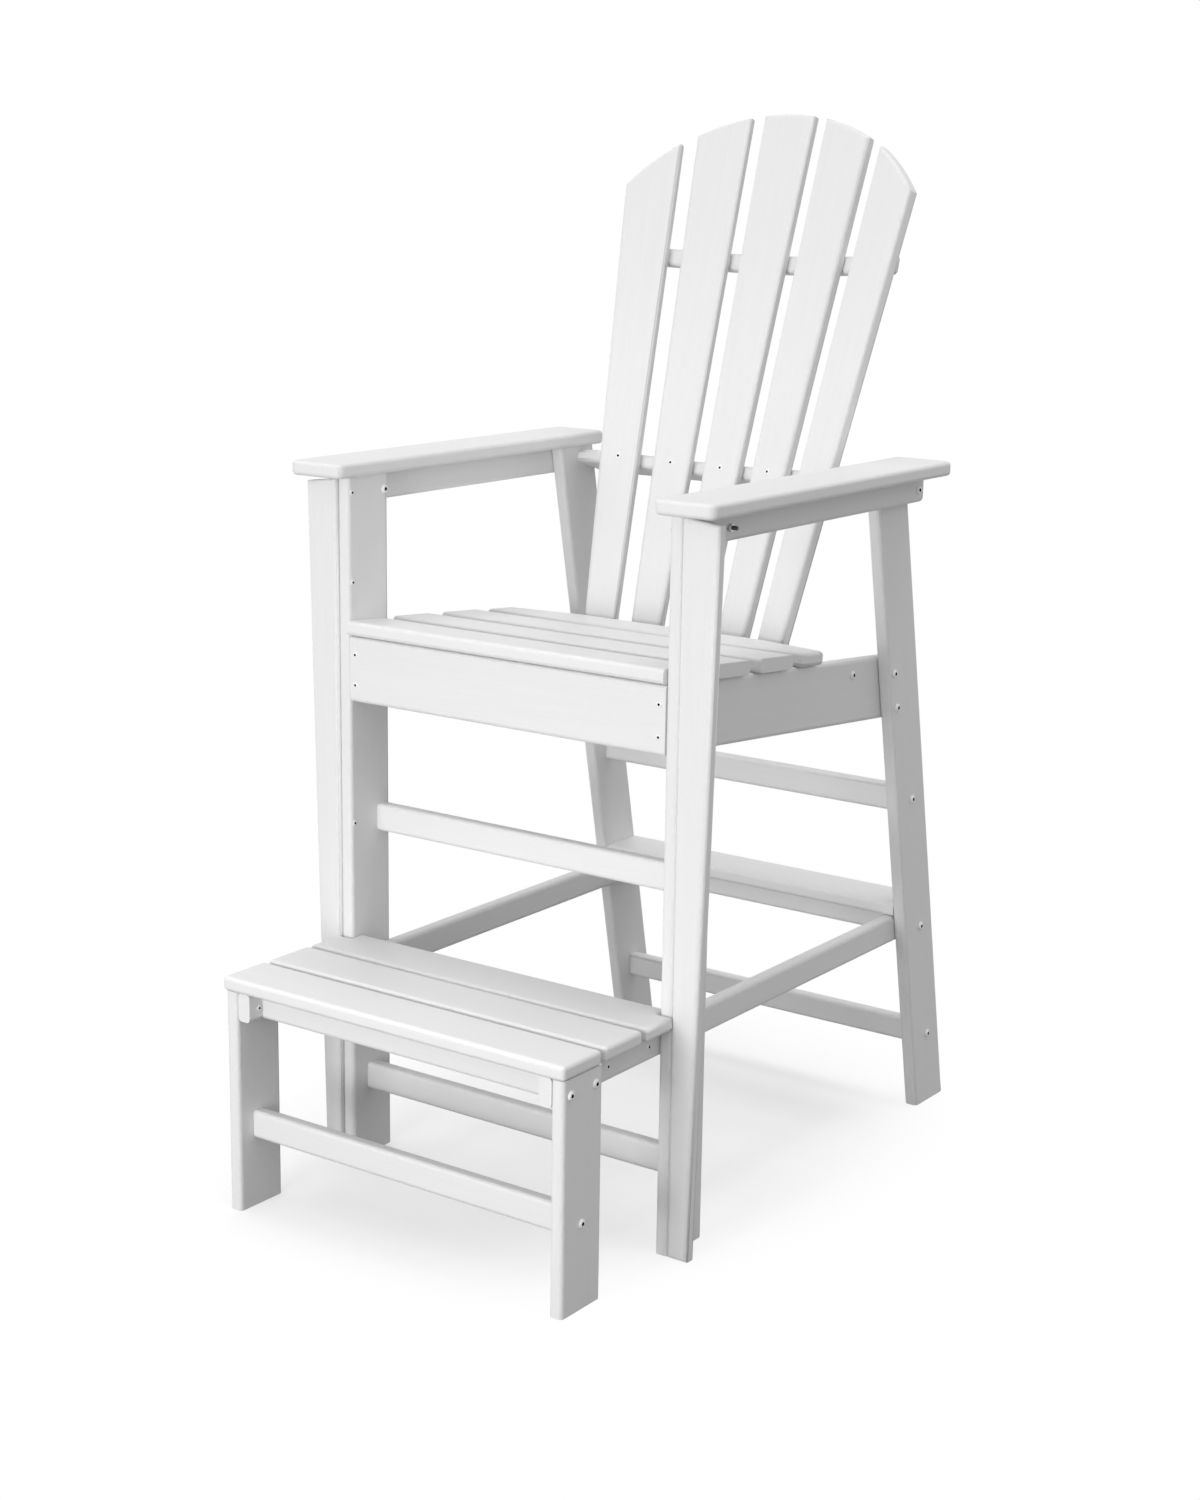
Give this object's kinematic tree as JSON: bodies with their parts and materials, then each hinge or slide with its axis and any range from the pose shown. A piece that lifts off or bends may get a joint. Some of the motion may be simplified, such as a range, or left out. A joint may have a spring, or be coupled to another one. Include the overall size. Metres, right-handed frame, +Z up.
{
  "type": "lifeguard chair",
  "caption": "Tall outdoor chair of white rounded boards: slatted seat, fanned back with an arched top, wide flat arms, leaning rear legs and a slatted step in front.",
  "frame": {"origin": "on the floor, under the middle of the bounding box", "axes": "+Z up; the sitter faces -Y, so the step is at -Y; the chair mirrors about X = 0"},
  "size_m": [0.724, 1.0558, 1.5519],
  "materials": {
    "white_board": "solid white plastic board with a fine lengthwise grain and soft rounded edges",
    "white_bolt": "white coated low round head",
    "steel_nut": "plain stainless steel"
  },
  "bodies": {
    "root": {"arm_front_bolt_left": "white_bolt", "arm_front_bolt_right": "white_bolt", "arm_front_nut_left": "steel_nut", "arm_front_nut_right": "steel_nut", "arm_left": "white_board", "arm_rail_left": "white_board", "arm_rail_right": "white_board", "arm_rear_bolt_left": "white_bolt", "arm_rear_bolt_right": "white_bolt", "arm_right": "white_board", "back_lower_crossmember": "white_board", "back_middle_rail": "white_board", "back_slat_1": "white_board", "back_slat_2": "white_board", "back_slat_3": "white_board", "back_slat_4": "white_board", "back_slat_5": "white_board", "back_upper_rail": "white_board", "crossmember_bolt_left": "white_bolt", "crossmember_bolt_right": "white_bolt", "front_low_stretcher": "white_board", "front_middle_stretcher": "white_board", "leg_front_board_left": "white_board", "leg_front_board_right": "white_board", "leg_side_board_left": "white_board", "leg_side_board_right": "white_board", "long_rail_bolt_left": "white_bolt", "long_rail_bolt_right": "white_bolt", "long_side_rail_left": "white_board", "long_side_rail_right": "white_board", "lower_stretcher_bolt_left": "white_bolt", "lower_stretcher_bolt_right": "white_bolt", "rear_leg_left": "white_board", "rear_leg_right": "white_board", "rear_lower_stretcher": "white_board", "rear_shelf_board": "white_board", "rear_shelf_stretcher": "white_board", "rear_upper_stretcher": "white_board", "seat_apron": "white_board", "seat_lower_bolt_left": "white_bolt", "seat_lower_bolt_right": "white_bolt", "seat_side_rail_left": "white_board", "seat_side_rail_right": "white_board", "seat_slat_1": "white_board", "seat_slat_2": "white_board", "seat_slat_3": "white_board", "seat_slat_4": "white_board", "seat_upper_bolt_left": "white_bolt", "seat_upper_bolt_right": "white_bolt", "step_apron": "white_board", "step_cleat_front": "white_board", "step_cleat_rear": "white_board", "step_leg_left": "white_board", "step_leg_right": "white_board", "step_slat_1": "white_board", "step_slat_2": "white_board", "step_slat_3": "white_board", "step_stretcher": "white_board", "upper_stretcher_bolt_left": "white_bolt", "upper_stretcher_bolt_right": "white_bolt"}
  },
  "joints": []
}
